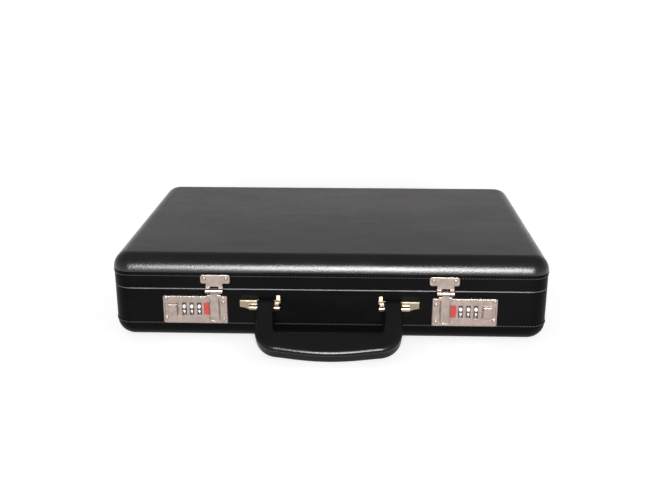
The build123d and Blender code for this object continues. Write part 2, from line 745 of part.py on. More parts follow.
def make_handle():
    core_u = handle_u(CORE_INSET)
    grip_u = handle_u(0)
    pin_x = (-LEG_X - LEG_WIDTH, LEG_X + LEG_WIDTH)
    half = GRIP_THICKNESS / 2

    with BuildPart() as handle_core:
        with BuildSketch(HANDLE_PLANE):
            add(core_u)
        extrude(amount=CORE_THICKNESS / 2, both=True)
        for side in SIDES.values():
            boss_x = across(side, LEG_X - CORE_BOSS_HALF_WIDTH, LEG_X + CORE_BOSS_HALF_WIDTH)
            rod(CORE_BOSS, boss_x, HANDLE_Y, HANDLE_Z)
        rod(HANDLE_PIN + RUNNING, pin_x, HANDLE_Y, HANDLE_Z, mode=Mode.SUBTRACT)
    save(handle_core.part, "handle_core")

    with BuildPart() as handle_grip:
        with BuildSketch(HANDLE_PLANE):
            add(grip_u)
        extrude(amount=half, both=True)
        flat_faces = handle_grip.faces().filter_by(Axis(HANDLE_PLANE.origin, HANDLE_PLANE.z_dir))
        fillet(flat_faces.edges(), radius=GRIP_EDGE)
        # The side profile thins the legs and rounds their ends about the pins
        with BuildSketch(HANDLE_SIDE):
            Circle(LEG_END)
            with BuildLine():
                Polyline(
                    (0, LEG_END),
                    (LEG_TAPER, half),
                    (HANDLE_REACH + 1, half),
                    (HANDLE_REACH + 1, -half),
                    (LEG_TAPER, -half),
                    (0, -LEG_END),
                    close=True,
                )
            make_face()
        extrude(amount=HANDLE_HALF_WIDTH + 5, both=True, mode=Mode.INTERSECT)
        rod(HANDLE_PIN + RUNNING, pin_x, HANDLE_Y, HANDLE_Z, mode=Mode.SUBTRACT)
        add(handle_core.part, mode=Mode.SUBTRACT)
    save(handle_grip.part, "handle_grip")


# ---- Lid stays ----

def stay_link(start, end, xs, pin_hole):
    """A flat link between two pivots, with a hole at each."""
    angle = math.degrees(math.atan2(end[1] - start[1], end[0] - start[0]))
    low, high = sorted(xs)
    with BuildSketch(Plane.YZ.offset(low)) as link:
        with Locations(((start[0] + end[0]) / 2, (start[1] + end[1]) / 2)):
            SlotCenterToCenter(STAY, STAY_WIDTH, rotation=angle)
        with Locations(start):
            Circle(STAY_PIN + RUNNING, mode=Mode.SUBTRACT)
        with Locations(end):
            Circle(pin_hole, mode=Mode.SUBTRACT)
    extrude(link.sketch, amount=high - low)


def make_stays():
    knee_play = 0.3
    stud = 1.0
    for word, side in SIDES.items():
        with BuildPart() as stay_lower:
            stay_link(STAY_BASE, STAY_KNEE, across(side, *LOWER_STAY_X), STAY_PIN)
            rod(STAY_PIN, across(side, LOWER_STAY_X[0], UPPER_STAY_X[1] + 0.8), *STAY_KNEE)
        save(stay_lower.part, f"stay_lower_{word}")

        with BuildPart() as stay_upper:
            stay_link(STAY_LID, STAY_KNEE, across(side, *UPPER_STAY_X), STAY_PIN + knee_play)
        save(stay_upper.part, f"stay_upper_{word}")

    base_studs = ("stay_studs_base", STAY_BASE, LOWER_STAY_X)
    lid_studs = ("stay_studs_lid", STAY_LID, UPPER_STAY_X)
    for name, place, reach in (base_studs, lid_studs):
        with BuildPart() as studs:
            for side in SIDES.values():
                y_span = (place[0] - 9, place[0] + 9)
                z_span = (place[1] - 5, place[1] + 5)
                brick(across(side, WALL_X - stud, WALL_X), y_span, z_span)
                rod(STAY_PIN, across(side, reach[0] - 0.8, WALL_X), *place)
                rod(STAY_PIN + 1.2, across(side, reach[1] + 0.4, WALL_X), *place)
        save(studs.part, name)


# ---- Lid organiser ----

def make_file_pocket():
    high_y = POCKET_Y[1]
    half = POCKET_HALF_WIDTH
    panel_top = POCKET_Z + POCKET_SHEET
    with BuildPart() as file_pocket:
        brick((-half, half), POCKET_Y, (POCKET_Z, panel_top))
    save(file_pocket.part, "file_pocket")

    # Gussets that hold the panel off the lid's ceiling on three sides
    rear_half = half - POCKET_SHEET - POCKET_PLAY
    with BuildPart() as file_pocket_gussets:
        brick((-rear_half, rear_half), (high_y - POCKET_SHEET, high_y), (panel_top, LID_CEILING))
        for side in SIDES.values():
            brick(across(side, half - POCKET_SHEET, half), POCKET_Y, (panel_top, LID_CEILING))
    save(file_pocket_gussets.part, "file_pocket_gussets")


def make_card_pocket():
    low_x, high_x = CARD_X
    gap_z = (POCKET_Z - CARD_GAP, POCKET_Z)
    with BuildPart() as card_pocket:
        brick(CARD_X, CARD_Y, (POCKET_Z - 2 * CARD_GAP, POCKET_Z - CARD_GAP))
        brick((low_x, low_x + CARD_HEM), CARD_Y, gap_z)
        brick((high_x - CARD_HEM, high_x), CARD_Y, gap_z)
        brick(CARD_X, (CARD_Y[1] - CARD_HEM, CARD_Y[1]), gap_z)
    save(card_pocket.part, "card_pocket")


def make_pen_loops():
    low_z = POCKET_Z - PEN_DEPTH
    inner = PEN_HALF_WIDTH - PEN_BAND
    with BuildPart() as pen_loops:
        for x in PEN_X:
            brick((x - PEN_HALF_WIDTH, x + PEN_HALF_WIDTH), PEN_Y, (low_z, POCKET_Z))
            brick((x - inner, x + inner), PEN_Y, (low_z + PEN_BAND, POCKET_Z), mode=Mode.SUBTRACT)
    save(pen_loops.part, "pen_loops")


os.makedirs("parts", exist_ok=True)
make_base_shell()
make_base_covers()
make_base_lining()
make_base_frame()
make_lid_shell()
make_lid_pad()
make_lid_covers()
make_lid_lining()
make_lid_frame()
make_hinge()
make_rivets()
make_feet()
for side_word, side_sign in SIDES.items():
    make_lock_plate(side_word, side_sign)
    make_lock_case(side_word, side_sign)
    make_lock_indicator(side_word, side_sign)
    make_dials(side_word, side_sign)
    make_slider(side_word, side_sign)
    make_hasp_bracket(side_word, side_sign)
    make_hasp(side_word, side_sign)
    make_handle_bracket(side_word, side_sign)
make_handle()
make_stays()
make_file_pocket()
make_card_pocket()
make_pen_loops()
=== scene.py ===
import json
import math

import bmesh
import bpy
from mathutils import Matrix, Vector, noise


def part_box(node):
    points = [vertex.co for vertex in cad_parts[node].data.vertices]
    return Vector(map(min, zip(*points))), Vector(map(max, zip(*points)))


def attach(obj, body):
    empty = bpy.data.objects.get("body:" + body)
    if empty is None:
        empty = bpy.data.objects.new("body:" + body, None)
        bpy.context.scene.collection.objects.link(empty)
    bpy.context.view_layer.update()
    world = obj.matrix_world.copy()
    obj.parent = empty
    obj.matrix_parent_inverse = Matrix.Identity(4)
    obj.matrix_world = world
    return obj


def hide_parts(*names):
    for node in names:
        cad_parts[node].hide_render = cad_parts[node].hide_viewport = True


# A slim leather attache case lying closed on a pale floor. Metres, in the CAD's own frame.

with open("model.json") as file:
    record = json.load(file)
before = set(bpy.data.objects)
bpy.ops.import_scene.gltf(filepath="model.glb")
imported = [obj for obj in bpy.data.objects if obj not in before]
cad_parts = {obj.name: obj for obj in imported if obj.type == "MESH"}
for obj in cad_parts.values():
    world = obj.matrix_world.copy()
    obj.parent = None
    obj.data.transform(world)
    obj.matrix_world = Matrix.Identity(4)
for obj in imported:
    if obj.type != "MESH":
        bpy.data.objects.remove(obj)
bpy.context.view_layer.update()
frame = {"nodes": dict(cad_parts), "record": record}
nodes = frame["nodes"]

MM = 0.001
SIDES = ("left", "right")

# Sizes read from the CAD
SHELL_LOW, SHELL_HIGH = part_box("lid_cover_top")
HALF_WIDTH = SHELL_HIGH[0]
HALF_DEPTH = SHELL_HIGH[1]
TOP = SHELL_HIGH[2]
SEAM = SHELL_LOW[2]
PIPING_LOW, PIPING_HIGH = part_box("lid_piping")
BASE_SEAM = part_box("base_cover_bottom")[1][2]

# Sizes that the CAD boxes do not give: the case's corner radius and the roll of the lid's edge
CORNER = 20 * MM
ROLL = 17 * MM

# Points on the case's long sides, short sides and corners in every loop round it
STEPS_X = 72
STEPS_Y = 48
STEPS_CORNER = 14

# Points round a bead and round a thread
BEAD_SIDES = 10
THREAD_SIDES = 6


# ---- Mesh helpers ----

def new_object(name, mesh, finish, smooth=True):
    """Puts a mesh in the scene with one material."""
    obj = bpy.data.objects.new(name, mesh)
    bpy.context.scene.collection.objects.link(obj)
    mesh.materials.append(finish)
    mesh.polygons.foreach_set("use_smooth", [smooth] * len(mesh.polygons))
    return obj


def loft(name, rings, finish, closed_path=False):
    """Joins rings of equally many points into one skin."""
    count = len(rings[0])
    points = [point for ring in rings for point in ring]
    faces = []
    spans = len(rings) if closed_path else len(rings) - 1
    for row in range(spans):
        here = row * count
        there = ((row + 1) % len(rings)) * count
        for k in range(count):
            following = (k + 1) % count
            faces.append((here + k, here + following, there + following, there + k))
    if not closed_path:
        faces.append(tuple(reversed(range(count))))
        last = (len(rings) - 1) * count
        faces.append(tuple(last + k for k in range(count)))
    mesh = bpy.data.meshes.new(name)
    mesh.from_pydata(points, [], faces)
    mesh.update()
    fix_normals(mesh)
    return new_object(name, mesh, finish)


def fix_normals(mesh):
    """Turns every face outwards."""
    bm = bmesh.new()
    bm.from_mesh(mesh)
    bmesh.ops.recalc_face_normals(bm, faces=bm.faces)
    bm.to_mesh(mesh)
    bm.free()


def case_ring(inset, z, radius=None):
    """A loop of points round the case at one height, set in from its outer face."""
    half_x = HALF_WIDTH - inset
    half_y = HALF_DEPTH - inset
    r = max(CORNER - inset if radius is None else radius, 0.0)
    r = min(r, half_x, half_y)
    loop = []
    corners = [(1, -1, -90), (1, 1, 0), (-1, 1, 90), (-1, -1, 180)]
    for number, (sx, sy, start) in enumerate(corners):
        centre = Vector((sx * (half_x - r), sy * (half_y - r), z))
        for k in range(STEPS_CORNER + 1):
            angle = math.radians(start + 90 * k / STEPS_CORNER)
            loop.append(centre + Vector((r * math.cos(angle), r * math.sin(angle), 0)))
        next_sx, next_sy, next_start = corners[(number + 1) % 4]
        angle = math.radians(next_start)
        goal = Vector((next_sx * (half_x - r), next_sy * (half_y - r), z))
        goal = goal + Vector((r * math.cos(angle), r * math.sin(angle), 0))
        steps = STEPS_Y if number % 2 == 0 else STEPS_X
        origin = loop[-1]
        loop += [origin.lerp(goal, k / steps) for k in range(1, steps)]
    return loop


def resample(path, spacing, closed=False):
    """Points and directions at equal distances along a polyline."""
    points = list(path) + ([path[0]] if closed else [])
    lengths = [0.0]
    for a, b in zip(points, points[1:]):
        lengths.append(lengths[-1] + (b - a).length)
    count = max(int(round(lengths[-1] / spacing)), 1)
    step = lengths[-1] / count
    found = []
    segment = 0
    for k in range(count):
        distance = (k + 0.5) * step
        while lengths[segment + 1] < distance:
            segment += 1
        a, b = points[segment], points[segment + 1]
        share = (distance - lengths[segment]) / max((b - a).length, 1e-9)
        found.append((a.lerp(b, share), (b - a).normalized()))
    return found


def stitches(name, path, finish, spacing=3.4 * MM, length=2.5 * MM, radius=0.32 * MM, closed=False):
    """A row of short threads lying end to end along a path."""
    # Each thread's profile: share of its length along the path, share of its radius
    shape = [(-0.5, 0.25), (-0.42, 0.8), (-0.2, 1.0), (0.2, 1.0), (0.42, 0.8), (0.5, 0.25)]
    sides = THREAD_SIDES
    points = []
    faces = []
    for centre, direction in resample(path, spacing, closed):
        across = direction.orthogonal().normalized()
        upward = direction.cross(across)
        first = len(points)
        for along, wide in shape:
            for k in range(sides):
                angle = 2 * math.pi * k / sides
                offset = (across * math.cos(angle) + upward * math.sin(angle)) * radius * wide
                points.append(centre + direction * length * along + offset)
        for row in range(len(shape) - 1):
            for k in range(sides):
                a = first + row * sides + k
                b = first + row * sides + (k + 1) % sides
                faces.append((a, b, b + sides, a + sides))
        faces.append(tuple(first + k for k in reversed(range(sides))))
        last = first + (len(shape) - 1) * sides
        faces.append(tuple(last + k for k in range(sides)))
    mesh = bpy.data.meshes.new(name)
    mesh.from_pydata(points, [], faces)
    mesh.update()
    fix_normals(mesh)
    return new_object(name, mesh, finish)


def rounded(corners, radius):
    """A closed polyline with its corners rounded off."""
    steps = 6
    path = []
    count = len(corners)
    for k, corner in enumerate(corners):
        start = corner + (corners[k - 1] - corner).normalized() * radius
        end = corner + (corners[(k + 1) % count] - corner).normalized() * radius
        for step in range(steps + 1):
            share = step / steps
            path.append(start.lerp(corner, share).lerp(corner.lerp(end, share), share))
    return path


def tube(name, path, radius, finish, closed=False):
    """A round bead that follows a path of points."""
    rings = []
    count = len(path)
    for k, point in enumerate(path):
        before = path[k - 1] if (closed or k > 0) else point
        after = path[(k + 1) % count] if (closed or k < count - 1) else point
        direction = (after - before).normalized()
        across = direction.cross(Vector((0, 0, 1)))
        across = across.normalized() if across.length > 1e-6 else Vector((1, 0, 0))
        upward = across.cross(direction).normalized()
        ring = []
        for j in range(BEAD_SIDES):
            angle = 2 * math.pi * j / BEAD_SIDES
            ring.append(point + (across * math.cos(angle) + upward * math.sin(angle)) * radius)
        rings.append(ring)
    return loft(name, rings, finish, closed_path=closed)


# ---- Materials ----

def material(name, **values):
    """A Principled material with plain values set on its own sockets."""
    made = bpy.data.materials.new(name)
    made.use_nodes = True
    shader = made.node_tree.nodes["Principled BSDF"]
    for socket, value in values.items():
        shader.inputs[socket.replace("_", " ")].default_value = value
    return made, made.node_tree, shader


def add_node(tree, kind, **settings):
    node = tree.nodes.new(kind)
    for key, value in settings.items():
        if key in node.inputs:
            node.inputs[key].default_value = value
        else:
            setattr(node, key, value)
    return node


def object_coordinates(tree, scale=(1, 1, 1)):
    """Positions in the piece's own space, stretched by a scale."""
    place = add_node(tree, "ShaderNodeTexCoord")
    stretch = add_node(tree, "ShaderNodeMapping")
    stretch.inputs["Scale"].default_value = scale
    tree.links.new(place.outputs["Object"], stretch.inputs["Vector"])
    return stretch.outputs["Vector"]


def noise_texture(tree, coordinates, scale, detail=3.0, roughness=0.5):
    node = add_node(tree, "ShaderNodeTexNoise")
    node.inputs["Scale"].default_value = scale
    node.inputs["Detail"].default_value = detail
    node.inputs["Roughness"].default_value = roughness
    tree.links.new(coordinates, node.inputs["Vector"])
    return node.outputs["Fac"]


def cells(tree, coordinates, scale):
    node = add_node(tree, "ShaderNodeTexVoronoi", feature="F1")
    node.inputs["Scale"].default_value = scale
    tree.links.new(coordinates, node.inputs["Vector"])
    return node.outputs["Distance"]


def remap(tree, value, from_low, from_high, to_low, to_high):
    node = add_node(tree, "ShaderNodeMapRange")
    limits = {"From Min": from_low, "From Max": from_high, "To Min": to_low, "To Max": to_high}
    for socket, number in limits.items():
        node.inputs[socket].default_value = number
    tree.links.new(value, node.inputs["Value"])
    return node.outputs["Result"]


def combine(tree, operation, a, b):
    node = add_node(tree, "ShaderNodeMath", operation=operation)
    for socket, value in zip(node.inputs, (a, b)):
        if isinstance(value, (int, float)):
            socket.default_value = value
        else:
            tree.links.new(value, socket)
    return node.outputs["Value"]


def two_colours(tree, factor, dark, light):
    node = add_node(tree, "ShaderNodeValToRGB")
    node.color_ramp.elements[0].color = (*dark, 1)
    node.color_ramp.elements[1].color = (*light, 1)
    tree.links.new(factor, node.inputs["Fac"])
    return node.outputs["Color"]


def bump(tree, height, strength, distance, below=None):
    node = add_node(tree, "ShaderNodeBump")
    node.inputs["Strength"].default_value = strength
    node.inputs["Distance"].default_value = distance
    tree.links.new(height, node.inputs["Height"])
    if below is not None:
        tree.links.new(below, node.inputs["Normal"])
    return node.outputs["Normal"]


def leather(name, dark, light, gloss=0.14, rough_low=0.3, rough_high=0.46, grain=0.35, streak=(1, 1, 1)):
    """Black leather: pebbled grain, creases, and gloss that varies in streaks."""
    made, tree, shader = material(name, Specular_IOR_Level=gloss)
    place = object_coordinates(tree)
    streaks = object_coordinates(tree, streak)
    pebbles = cells(tree, place, 950)
    creases = noise_texture(tree, place, 420, 5, 0.6)
    patches = noise_texture(tree, streaks, 26, 5, 0.65)
    tree.links.new(two_colours(tree, patches, dark, light), shader.inputs["Base Color"])
    broad_rough = remap(tree, patches, 0.3, 0.7, rough_low, rough_high)
    fine = remap(tree, creases, 0.3, 0.7, -0.03, 0.04)
    tree.links.new(combine(tree, "ADD", broad_rough, fine), shader.inputs["Roughness"])
    broad = bump(tree, patches, 0.25, 0.0006)
    lines = bump(tree, creases, grain * 0.8, 0.00025, broad)
    tree.links.new(bump(tree, pebbles, grain, 0.0002, lines), shader.inputs["Normal"])
    return made


def metal(name, colour, rough_low, rough_high, brushed=(1, 1, 1), grain=0.06):
    """Plated metal with faint brushing, and marks that change its gloss."""
    made, tree, shader = material(name, Metallic=1.0)
    lines = noise_texture(tree, object_coordinates(tree, brushed), 900, 3, 0.6)
    marks = noise_texture(tree, object_coordinates(tree), 160, 4, 0.6)
    rounded_edges = add_node(tree, "ShaderNodeBevel", Radius=0.6 * MM)
    darker = tuple(c * 0.86 for c in colour)
    tree.links.new(two_colours(tree, marks, darker, colour), shader.inputs["Base Color"])
    tree.links.new(remap(tree, marks, 0.3, 0.7, rough_low, rough_high), shader.inputs["Roughness"])
    tree.links.new(bump(tree, lines, grain, 0.0001, rounded_edges.outputs["Normal"]), shader.inputs["Normal"])
    return made


def cloth(name, dark, light, scale, roughness=0.9, sheen=0.3):
    """Short-napped cloth with a fine mottle."""
    made, tree, shader = material(name, Roughness=roughness, Sheen_Weight=sheen, Specular_IOR_Level=0.2)
    place = object_coordinates(tree)
    nap = noise_texture(tree, place, scale, 4, 0.7)
    tree.links.new(two_colours(tree, nap, dark, light), shader.inputs["Base Color"])
    tree.links.new(bump(tree, nap, 0.5, 0.0003), shader.inputs["Normal"])
    return made


def plastic(name, dark, light, rough_low, rough_high):
    """Moulded plastic or enamel with slight flow marks."""
    made, tree, shader = material(name)
    marks = noise_texture(tree, object_coordinates(tree), 300, 3, 0.6)
    tree.links.new(two_colours(tree, marks, dark, light), shader.inputs["Base Color"])
    tree.links.new(remap(tree, marks, 0.3, 0.7, rough_low, rough_high), shader.inputs["Roughness"])
    tree.links.new(bump(tree, marks, 0.05, 0.0001), shader.inputs["Normal"])
    return made


# case_leather_painted_shade is the lid's leather painted darker, as painted shade on the case's upright
# sides, and less glossy
SHADED_CASE_LEATHER = leather(
    "case_leather_painted_shade", (0.0005, 0.0005, 0.0006), (0.002, 0.0019, 0.002), 0.045, streak=(0.35, 1, 1)
)
LID_LEATHER = leather(
    "lid_leather", (0.003, 0.0026, 0.0027), (0.007, 0.0062, 0.0063), 0.5, 0.21, 0.30, streak=(0.5, 1, 1)
)
GRIP_LEATHER = leather("grip_leather", (0.002, 0.002, 0.0024), (0.005, 0.0048, 0.005), 0.3, 0.18, 0.28, 0.25)
# grip_underside_painted_shade is the grip's leather painted about half as dark, as painted shade on the
# handle's sides and underside, and less glossy
SHADED_UNDER_LEATHER = leather("grip_underside_painted_shade", (0.0008, 0.0008, 0.001), (0.0022, 0.002, 0.0022), 0.08, 0.3, 0.42)
THREAD = cloth("black_thread", (0.016, 0.016, 0.016), (0.045, 0.045, 0.045), 3000, 0.6)
INNER_THREAD = cloth("grey_thread", (0.10, 0.10, 0.10), (0.2, 0.2, 0.2), 3000, 0.6)
NICKEL = metal("satin_nickel", (0.385, 0.315, 0.28), 0.2, 0.34, (0.1, 1, 1))
WARM_NICKEL = metal("warm_nickel", (0.34, 0.28, 0.205), 0.14, 0.26)
STEEL = metal("zinc_steel", (0.52, 0.52, 0.54), 0.32, 0.5)
ALUMINIUM = metal("frame_aluminium", (0.2, 0.2, 0.205), 0.3, 0.42, (0.05, 0.05, 1))
RED = plastic("red_enamel", (0.23, 0.014, 0.010), (0.29, 0.02, 0.014), 0.25, 0.38)
DIAL_BLACK = plastic("dial_black", (0.010, 0.010, 0.011), (0.022, 0.022, 0.024), 0.25, 0.38)
NUMERAL = plastic("numeral_white", (0.52, 0.51, 0.49), (0.66, 0.65, 0.62), 0.4, 0.5)
FOOT = plastic("foot_black", (0.012, 0.012, 0.012), (0.03, 0.03, 0.03), 0.45, 0.6)
LINING = cloth("suede_lining", (0.018, 0.018, 0.020), (0.05, 0.049, 0.052), 1400)
POCKET = leather("pocket_leathercloth", (0.008, 0.008, 0.009), (0.02, 0.02, 0.021), 0.2, 0.45, 0.6)
BOARD = cloth("hardboard", (0.20, 0.14, 0.09), (0.32, 0.24, 0.16), 300, 0.85, 0.0)
FOAM = cloth("foam_sheet", (0.42, 0.40, 0.34), (0.58, 0.55, 0.48), 900, 0.95, 0.0)

FINISHES = {
    "leather_black": SHADED_CASE_LEATHER,
    "handle_leather": GRIP_LEATHER,
    "piping": SHADED_CASE_LEATHER,
    "board": BOARD,
    "foam": FOAM,
    "lining": LINING,
    "pocket_fabric": POCKET,
    "frame_aluminium": ALUMINIUM,
    "satin_nickel": NICKEL,
    "warm_nickel": WARM_NICKEL,
    "steel": STEEL,
    "red_enamel": RED,
    "dial_black": DIAL_BLACK,
    "foot_plastic": FOOT,
}


def paint_nodes():
    """Every CAD node takes the finish of its material slot."""
    for part in frame["record"]["subparts"]:
        node = nodes[part["node"]]
        for slot in node.material_slots:
            slot.material = FINISHES[part["material_slot"]]


# ---- Padded lid ----

def lid_profile():
    """Inset and height of the padded top, from its seam up over the roll to the middle."""
    proud = 0.4 * MM
    lift = 0.3 * MM
    roll_steps = 20
    flat_steps = 28
    flat_end = HALF_DEPTH - 2 * MM
    profile = [(1.0 * MM, SEAM), (0.4 * MM, SEAM + 0.1 * MM), (0.0, SEAM + lift)]
    for k in range(roll_steps + 1):
        angle = math.radians(90 * k / roll_steps)
        reach = ROLL + proud * math.cos(angle)
        profile.append((ROLL - reach * math.cos(angle), TOP - ROLL + reach * math.sin(angle) + lift))
    for k in range(1, flat_steps + 1):
        profile.append((ROLL + (flat_end - ROLL) * (k / flat_steps) ** 1.2, TOP + lift))
    return profile


def soften(ring, depth):
    """The padding's slight crown, with small hollows and swells in the leather over it."""
    crown = 1.2 * MM
    out = []
    for point in ring:
        across = min(abs(point.x) / (HALF_WIDTH - ROLL), 1)
        along = min(abs(point.y) / (HALF_DEPTH - ROLL), 1)
        lift = crown * (1 - across ** 2) ** 2 * (1 - along ** 2) ** 2
        wave = noise.noise(Vector((point.x * 14, point.y * 18, point.z * 20)))
        fine = noise.noise(Vector((point.x * 45 + 7, point.y * 60, point.z * 60)))
        out.append(Vector((point.x, point.y, point.z + lift + depth * (0.7 * wave + 0.3 * fine))))
    return out


def make_lid_top():
    """The lid's leather as a skin with an outer and an inner face, drawn over the foam."""
    thickness = 0.9 * MM
    hollows = 0.2 * MM
    rings = []
    inner = []
    for inset, z in lid_profile():
        share = min(max((z - SEAM) / ROLL, 0), 1)
        radius = max(CORNER - inset, 1 * MM)
        rings.append(soften(case_ring(inset, z, radius), hollows * share))
        under_inset = inset + thickness * (1 - share)
        under = case_ring(under_inset, z - thickness * share, max(CORNER - under_inset, 0.5 * MM))
        inner.append(soften(under, hollows * share))
    lid = loft("lid_padded_top", list(reversed(inner)) + rings, LID_LEATHER)
    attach(lid, "lid")
    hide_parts("lid_cover_top")


def make_lid_trim():
    """The piping bead in the lid's seam, and the row of stitches below it."""
    middle = (PIPING_LOW[2] + PIPING_HIGH[2]) / 2
    path = case_ring(0.1 * MM, middle)
    bead = tube("lid_piping_bead", path, 0.75 * MM, SHADED_CASE_LEATHER, closed=True)
    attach(bead, "lid")
    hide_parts("lid_piping")
    row = stitches("lid_stitching", case_ring(-0.12 * MM, middle - 2.6 * MM), THREAD, closed=True)
    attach(row, "lid")


def make_base_trim():
    """The folded edge of the base's lower leather, and the stitches that hold it."""
    fold = [(0.1, -1.6), (-0.35, -1.3), (-0.5, -0.4), (-0.4, 0.35), (0.1, 0.6)]
    rings = [case_ring(inset * MM, BASE_SEAM + z * MM) for inset, z in fold]
    inner = [case_ring(0.6 * MM, BASE_SEAM + z * MM) for z in (0.6, -1.6)]
    seam = loft("base_seam_fold", rings + inner, SHADED_CASE_LEATHER, closed_path=True)
    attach(seam, "base")
    row = stitches("base_stitching", case_ring(-0.45 * MM, BASE_SEAM - 0.6 * MM), THREAD, closed=True)
    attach(row, "base")


# ---- Handle ----

# Sizes of the handle's flat outline, as in the CAD except that the leg ends are 0.2 mm fuller
HANDLE_PIVOT = Vector((0, -158.6, 39.2)) * MM
REACH = 59.5 * MM
BOW = 4.5 * MM
LEG_X = 64.8 * MM
LEG_WIDTH = 16.4 * MM
LEG_END = 7.8 * MM
GRIP_HALF_WIDTH = 73.2 * MM
WINDOW_HALF_WIDTH = 54.5 * MM
WINDOW_REACH = 35.0 * MM
OUTER_CORNER = 24 * MM
WINDOW_CORNER = 8 * MM
GRIP_HALF = 9.25 * MM
GRIP_EDGE = 3.5 * MM
LEG_TAPER = 30 * MM
LEG_TIP = 0.5 * MM
LEG_STEPS = 9
CORNER_STEPS = 12
GRIP_STEPS = 10
SEAM_START = -4 * MM
TABLE_GAP = 0.2 * MM
EDGE_REACH = REACH - GRIP_EDGE
EDGE_DEPTH = GRIP_HALF - GRIP_EDGE
EDGE_FALL = HANDLE_PIVOT.z - GRIP_EDGE - TABLE_GAP
DROP = math.asin(EDGE_FALL / math.hypot(EDGE_REACH, EDGE_DEPTH)) - math.atan2(EDGE_DEPTH, EDGE_REACH)
HANDLE_TURN = Matrix.Translation(HANDLE_PIVOT) @ Matrix.Rotation(DROP, 4, "X")


def handle_stations():
    """Matching points on the handle's outer and inner edges, from one leg's end round to the other's."""
    side_reach = REACH - BOW
    leg_outer = LEG_X + LEG_WIDTH / 2
    leg_inner = LEG_X - LEG_WIDTH / 2
    half = []
    outer_top = Vector((leg_outer, 0))
    inner_top = Vector((leg_inner, 0))
    outer_low = Vector((GRIP_HALF_WIDTH, -side_reach + OUTER_CORNER))
    inner_low = Vector((WINDOW_HALF_WIDTH, -WINDOW_REACH + WINDOW_CORNER))
    for share in (1.0, 0.985, 0.94, 0.86, 0.74, 0.58, 0.4, 0.2):
        half.append((Vector((leg_outer, LEG_END * share)), Vector((leg_inner, LEG_END * share))))
    for k in range(LEG_STEPS):
        share = k / LEG_STEPS
        half.append((outer_top.lerp(outer_low, share), inner_top.lerp(inner_low, share)))
    for k in range(CORNER_STEPS + 1):
        angle = math.radians(90 * k / CORNER_STEPS)
        turn = Vector((math.cos(angle), -math.sin(angle)))
        outer = outer_low - Vector((OUTER_CORNER, 0)) + turn * OUTER_CORNER
        inner = inner_low - Vector((WINDOW_CORNER, 0)) + turn * WINDOW_CORNER
        half.append((outer, inner))
    outer_end = GRIP_HALF_WIDTH - OUTER_CORNER
    for k in range(1, GRIP_STEPS + 1):
        share = k / GRIP_STEPS
        sag = BOW * math.sin(share * math.pi / 2)
        half.append((
            Vector((outer_end * (1 - share), -side_reach - sag)),
            Vector(((WINDOW_HALF_WIDTH - WINDOW_CORNER) * (1 - share), -WINDOW_REACH)),
        ))
    mirrored = [(Vector((-a.x, a.y)), Vector((-b.x, b.y))) for a, b in reversed(half[:-1])]
    return half + mirrored


def half_thickness(y):
    """The legs thin towards their ends, which are round about the pins."""
    if y > 0:
        return math.sqrt(max(LEG_END ** 2 - y ** 2, LEG_TIP ** 2))
    share = min(-y / LEG_TAPER, 1)
    smooth = share * share * (3 - 2 * share)
    return LEG_END + (GRIP_HALF - LEG_END) * smooth


# The handle's cross-section as shares of its half width and half thickness; +1 is the outer side
SECTION = [
    (-1.0, 0.0), (-1.0, 0.46), (-0.95, 0.82), (-0.76, 0.98), (-0.35, 1.0), (0.1, 1.0),
    (0.45, 0.995), (0.66, 0.975), (0.8, 0.935), (0.9, 0.865), (0.975, 0.79), (1.0, 0.64),
    (1.01, 0.35), (1.01, 0.0), (1.005, -0.5), (0.98, -0.86), (0.8, -1.02), (0.2, -1.01),
    (-0.35, -1.0), (-0.76, -0.95), (-0.94, -0.76), (-1.0, -0.4),
]
# The point of the section at the outer seam, and the strips below it, whose leather is duller and painted
# darker as painted shade
RIDGE = 10
UNDERSIDE = range(10, 18)
RIDGE_CREASE = 0.9


def handle_point(outer, inner, across, up):
    """A point of the handle in the case's frame, from its flat outline and its section."""
    centre = (outer + inner) / 2
    flat = centre + (outer - inner) / 2 * across
    height = half_thickness(centre.y) * up
    return HANDLE_TURN @ Vector((flat.x, flat.y, height))


def make_handle():
    """The padded leather grip, with its outer seam and the stitches below the seam."""
    stations = handle_stations()
    rings = [[handle_point(outer, inner, u, v) for u, v in SECTION] for outer, inner in stations]
    grip = loft("handle_padded_grip", rings, GRIP_LEATHER)
    mesh = grip.data
    count = len(SECTION)
    crease = mesh.attributes.new("crease_edge", "FLOAT", "EDGE")
    for edge in mesh.edges:
        a, b = edge.vertices
        if a % count == RIDGE and b % count == RIDGE:
            crease.data[edge.index].value = RIDGE_CREASE
    # The sides and underside below the seam take the darker leather, painted shade, with duller gloss
    mesh.materials.append(SHADED_UNDER_LEATHER)
    for face in mesh.polygons[:(len(rings) - 1) * count]:
        if face.index % count in UNDERSIDE:
            face.material_index = 1
    smoother = grip.modifiers.new("smooth", "SUBSURF")
    smoother.levels = 2
    smoother.render_levels = 2
    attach(grip, "handle")
    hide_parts("handle_grip")

    inside = [station for station in stations if station[0].y < SEAM_START]
    seam_path = [handle_point(outer, inner, 0.985, 0.74) for outer, inner in inside]
    # The seam bead takes the same darker leather, painted as shade
    seam = tube("handle_seam", seam_path, 0.4 * MM, SHADED_UNDER_LEATHER)
    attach(seam, "handle")
    thread_path = [handle_point(outer, inner, 1.02, 0.46) for outer, inner in inside]
    thread = stitches("handle_stitching", thread_path, THREAD, 3.0 * MM, 2.2 * MM, 0.28 * MM)
    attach(thread, "handle")


# ---- Numerals on the dials ----

DIGIT_PITCH = 36
DIGIT_OFFSET = 18
DIGIT_SIZE = 5.2 * MM
DIGIT_WEIGHT = 0.1 * MM
DIGIT_NARROWING = 0.95
PAINT_HEIGHT = 0.04 * MM
STRIP = 0.4 * MM
STRIPS = 7


